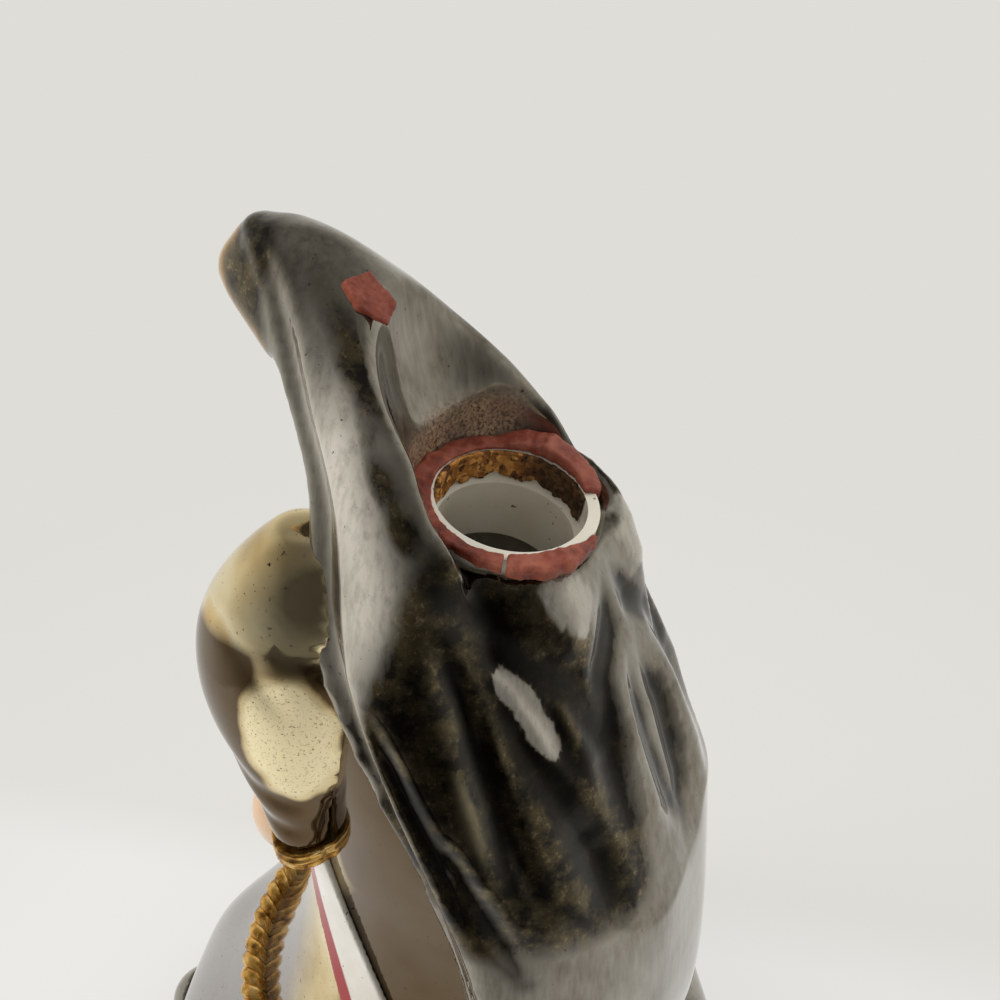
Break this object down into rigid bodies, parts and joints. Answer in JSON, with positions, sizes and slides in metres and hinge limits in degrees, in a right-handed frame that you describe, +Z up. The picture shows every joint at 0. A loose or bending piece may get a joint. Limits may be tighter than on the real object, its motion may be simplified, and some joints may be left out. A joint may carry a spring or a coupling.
{
  "type": "figural liquor decanter",
  "caption": "Glazed ceramic liquor decanter shaped as a hooded, cloaked figure, with an open pouring mouth behind the hood, a broken wax seal and a loose cork stopper.",
  "frame": {"origin": "middle of the felt pad's underside, on the table", "axes": "+Z up, the figure faces -Y and its left side is +X"},
  "size_m": [0.171, 0.1545, 0.255],
  "materials": {
    "dark_lustre": "gunmetal mirror lustre glaze with brush streaks",
    "bronze_lustre": "bronze and gold mirror lustre glaze",
    "gold_lustre": "worn gold lustre",
    "cream_glaze": "gloss cream glaze",
    "white_glaze": "gloss white glaze with a red stripe",
    "skin_glaze": "cream glaze tinted peach",
    "sealing_wax": "brittle terracotta-red sealing wax",
    "cork": "granular cork",
    "dowel_wood": "plain beech",
    "felt": "pressed felt"
  },
  "bodies": {
    "decanter": {"felt_pad": "felt", "base_plinth": "dark_lustre", "robe_bottle": "bronze_lustre", "cloak_hood": "dark_lustre", "pour_neck": "cream_glaze", "cork_crust": "cork", "wax_seal": "sealing_wax", "wax_chip": "sealing_wax", "head": "skin_glaze", "rope_belt": "gold_lustre", "belt_knot": "gold_lustre", "left_sleeve": "bronze_lustre", "right_sleeve": "bronze_lustre", "left_cuff": "gold_lustre", "right_cuff": "gold_lustre", "left_hand": "skin_glaze", "right_hand": "skin_glaze", "left_sash": "white_glaze", "right_sash": "white_glaze", "left_rope_tail": "gold_lustre", "right_rope_tail": "gold_lustre", "left_shoe": "dark_lustre", "right_shoe": "dark_lustre"},
    "stopper": {"stopper_cap": "dark_lustre", "stopper_cork": "cork", "stopper_pin": "dowel_wood"}
  },
  "joints": [
    {"name": "stopper_lift", "type": "slide", "parent": "decanter", "child": "stopper", "axis": [0, 0, 1], "range_m": [0, 0.06]}
  ]
}
